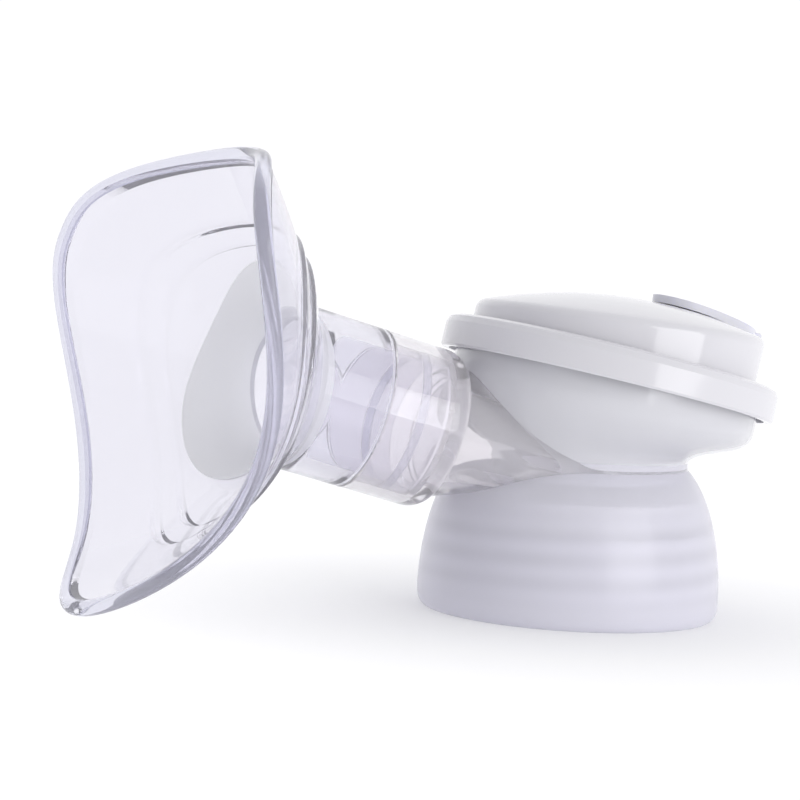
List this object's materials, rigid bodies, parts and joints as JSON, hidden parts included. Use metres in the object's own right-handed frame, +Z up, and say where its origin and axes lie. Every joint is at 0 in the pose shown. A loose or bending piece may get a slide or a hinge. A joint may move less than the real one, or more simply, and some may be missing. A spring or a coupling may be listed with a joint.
{
  "type": "breast pump collection head",
  "caption": "Breast pump head: egg-shaped clear shield on a sloping tube, bell collar for a bottle, tilted white diaphragm cap with a hose port plug.",
  "frame": {"origin": "centre of the bottle collar's rim, on the plane the head stands on", "axes": "+Z up along the collar's axis, -X toward the breast shield, +X toward the side that the cap leans to"},
  "size_m": [0.1634, 0.0989, 0.0993],
  "materials": {
    "milky_plastic": "milky translucent polypropylene, glossy",
    "clear_plastic": "clear hard plastic, polished",
    "soft_lip": "clear soft elastomer, smooth",
    "frosted_silicone": "frosted silicone, matte",
    "silicone": "translucent silicone, satin",
    "plug_silicone": "pale translucent silicone, satin",
    "white_plastic": "opaque white plastic, glossy"
  },
  "bodies": {
    "connector": {"connector_body": "milky_plastic", "bottle_gasket": "silicone", "diaphragm": "silicone"},
    "seal": {"shield_seal": "silicone"},
    "shield": {"breast_shield": "clear_plastic", "shield_lip": "soft_lip", "funnel_liner": "frosted_silicone"},
    "valve": {"duckbill_valve": "silicone"},
    "plate": {"diaphragm_plate": "silicone"},
    "dome": {"cap_dome": "white_plastic", "hose_port": "white_plastic", "plug_anchor": "plug_silicone"},
    "plug": {"port_plug": "plug_silicone"},
    "lock_ring": {"cap_lock_ring": "white_plastic"}
  },
  "joints": [
    {"name": "shield_pull", "type": "slide", "parent": "connector", "child": "seal", "axis": [-0.9681, 0, 0.2504], "range_m": [0, 0.03]},
    {"name": "shield_turn", "type": "hinge", "parent": "seal", "child": "shield", "pos_m": [0, 0, 0.0313], "axis": [-0.9681, 0, 0.2504], "range_deg": [-180, 180]},
    {"name": "valve_pull", "type": "slide", "parent": "connector", "child": "valve", "axis": [0, 0, -1], "range_m": [0, 0.02]},
    {"name": "membrane_stroke", "type": "slide", "parent": "connector", "child": "plate", "axis": [0.1977, 0, 0.9803], "range_m": [-0.003, 0.003], "stiffness_N_per_m": 150, "deforming": ["diaphragm"]},
    {"name": "cap_lift", "type": "slide", "parent": "connector", "child": "dome", "axis": [0.1977, 0, 0.9803], "range_m": [0, 0.03]},
    {"name": "cap_twist", "type": "hinge", "parent": "dome", "child": "lock_ring", "pos_m": [0.0066, 0, 0.0518], "axis": [0.1977, 0, 0.9803], "range_deg": [0, 25]},
    {"name": "plug_open", "type": "hinge", "parent": "dome", "child": "plug", "pos_m": [0.04375, 0, 0.06444], "axis": [0, 1, 0], "range_deg": [0, 120]}
  ]
}
